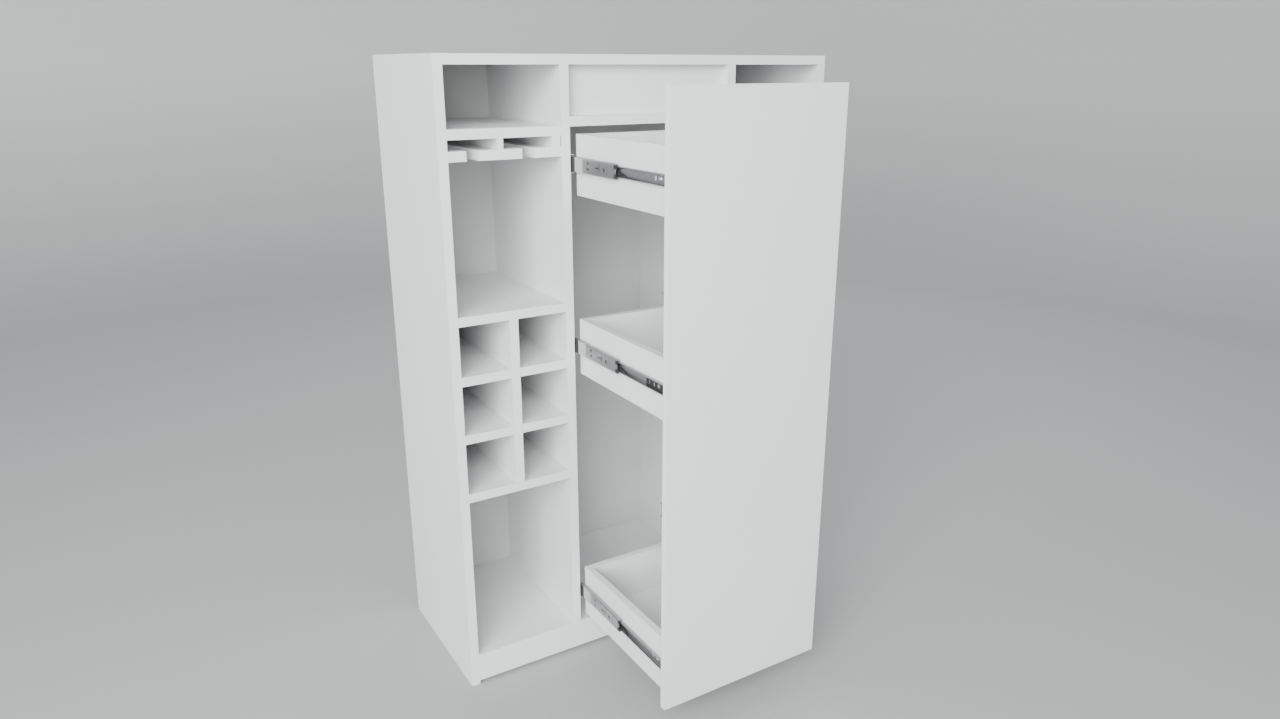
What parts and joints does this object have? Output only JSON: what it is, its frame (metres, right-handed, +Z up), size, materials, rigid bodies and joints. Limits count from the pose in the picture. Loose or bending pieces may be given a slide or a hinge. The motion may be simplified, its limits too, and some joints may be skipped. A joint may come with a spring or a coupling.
{
  "type": "wine cabinet with pull-out",
  "caption": "Free-standing wine cabinet in three columns, with stem racks, bottle cubbies and niches, and a tall central pull-out carrying trays on ball slides.",
  "frame": {"origin": "on the floor, at the middle of the cabinet's width, in the plane of the carcass's front edges; with the pull-out fully out that is the bounding box's bottom centre", "axes": "+Z up; +Y towards the back panel, so the pull-out comes out along -Y; +X to the right of someone facing the cabinet"},
  "size_m": [0.77, 0.6, 1.1],
  "materials": {
    "white_board": "white melamine-coated chipboard with white edge banding, satin",
    "white_back": "white lacquered hardboard, matt",
    "zinc_steel": "bright zinc plating on cold-rolled steel"
  },
  "bodies": {
    "carcass": {"left_side_panel": "white_board", "right_side_panel": "white_board", "top_panel": "white_board", "base_panel": "white_board", "plinth_front": "white_board", "plinth_rear": "white_board", "back_panel": "white_back", "left_divider": "white_board", "right_divider": "white_board", "left_niche_shelf": "white_board", "right_niche_shelf": "white_board", "middle_shelf": "white_board", "middle_fascia": "white_board", "left_rack_outer_slat": "white_board", "left_rack_centre_rail": "white_board", "left_rack_inner_rail": "white_board", "left_cubby_bottom": "white_board", "left_cubby_top": "white_board", "left_cubby_upright": "white_board", "left_cubby_lower_shelf": "white_board", "left_cubby_upper_shelf": "white_board", "right_rack_outer_slat": "white_board", "right_rack_centre_rail": "white_board", "right_rack_inner_rail": "white_board", "right_cubby_bottom": "white_board", "right_cubby_top": "white_board", "right_cubby_upright": "white_board", "right_cubby_lower_shelf": "white_board", "right_cubby_upper_shelf": "white_board", "bottom_left_slide_cabinet_member": "zinc_steel", "bottom_right_slide_cabinet_member": "zinc_steel", "middle_left_slide_cabinet_member": "zinc_steel", "middle_right_slide_cabinet_member": "zinc_steel", "top_left_slide_cabinet_member": "zinc_steel", "top_right_slide_cabinet_member": "zinc_steel"},
    "pull_out": {"front_panel": "white_board", "bottom_tray_rear": "white_board", "bottom_tray_floor": "white_board", "bottom_tray_left_side": "white_board", "bottom_tray_right_side": "white_board", "bottom_left_slide_drawer_member": "zinc_steel", "bottom_right_slide_drawer_member": "zinc_steel", "middle_tray_rear": "white_board", "middle_tray_floor": "white_board", "middle_tray_left_side": "white_board", "middle_tray_right_side": "white_board", "middle_left_slide_drawer_member": "zinc_steel", "middle_right_slide_drawer_member": "zinc_steel", "top_tray_rear": "white_board", "top_tray_floor": "white_board", "top_tray_left_side": "white_board", "top_tray_right_side": "white_board", "top_left_slide_drawer_member": "zinc_steel", "top_right_slide_drawer_member": "zinc_steel"},
    "bottom_left_slide_middle": {"bottom_left_slide_middle_member": "zinc_steel"},
    "bottom_right_slide_middle": {"bottom_right_slide_middle_member": "zinc_steel"},
    "middle_left_slide_middle": {"middle_left_slide_middle_member": "zinc_steel"},
    "middle_right_slide_middle": {"middle_right_slide_middle_member": "zinc_steel"},
    "top_left_slide_middle": {"top_left_slide_middle_member": "zinc_steel"},
    "top_right_slide_middle": {"top_right_slide_middle_member": "zinc_steel"}
  },
  "joints": [
    {"name": "pull_out_slide", "type": "slide", "parent": "carcass", "child": "pull_out", "axis": [0, -1, 0], "range_m": [-0.287, 0]},
    {"name": "bottom_left_slide_middle_travel", "type": "slide", "parent": "carcass", "child": "bottom_left_slide_middle", "axis": [0, -1, 0], "range_m": [-0.1435, 0]},
    {"name": "bottom_right_slide_middle_travel", "type": "slide", "parent": "carcass", "child": "bottom_right_slide_middle", "axis": [0, -1, 0], "range_m": [-0.1435, 0]},
    {"name": "middle_left_slide_middle_travel", "type": "slide", "parent": "carcass", "child": "middle_left_slide_middle", "axis": [0, -1, 0], "range_m": [-0.1435, 0]},
    {"name": "middle_right_slide_middle_travel", "type": "slide", "parent": "carcass", "child": "middle_right_slide_middle", "axis": [0, -1, 0], "range_m": [-0.1435, 0]},
    {"name": "top_left_slide_middle_travel", "type": "slide", "parent": "carcass", "child": "top_left_slide_middle", "axis": [0, -1, 0], "range_m": [-0.1435, 0]},
    {"name": "top_right_slide_middle_travel", "type": "slide", "parent": "carcass", "child": "top_right_slide_middle", "axis": [0, -1, 0], "range_m": [-0.1435, 0]}
  ],
  "couplings": [
    {"joint": "bottom_left_slide_middle_travel", "follows": "pull_out_slide", "ratio": 0.5},
    {"joint": "bottom_right_slide_middle_travel", "follows": "pull_out_slide", "ratio": 0.5},
    {"joint": "middle_left_slide_middle_travel", "follows": "pull_out_slide", "ratio": 0.5},
    {"joint": "middle_right_slide_middle_travel", "follows": "pull_out_slide", "ratio": 0.5},
    {"joint": "top_left_slide_middle_travel", "follows": "pull_out_slide", "ratio": 0.5},
    {"joint": "top_right_slide_middle_travel", "follows": "pull_out_slide", "ratio": 0.5}
  ]
}
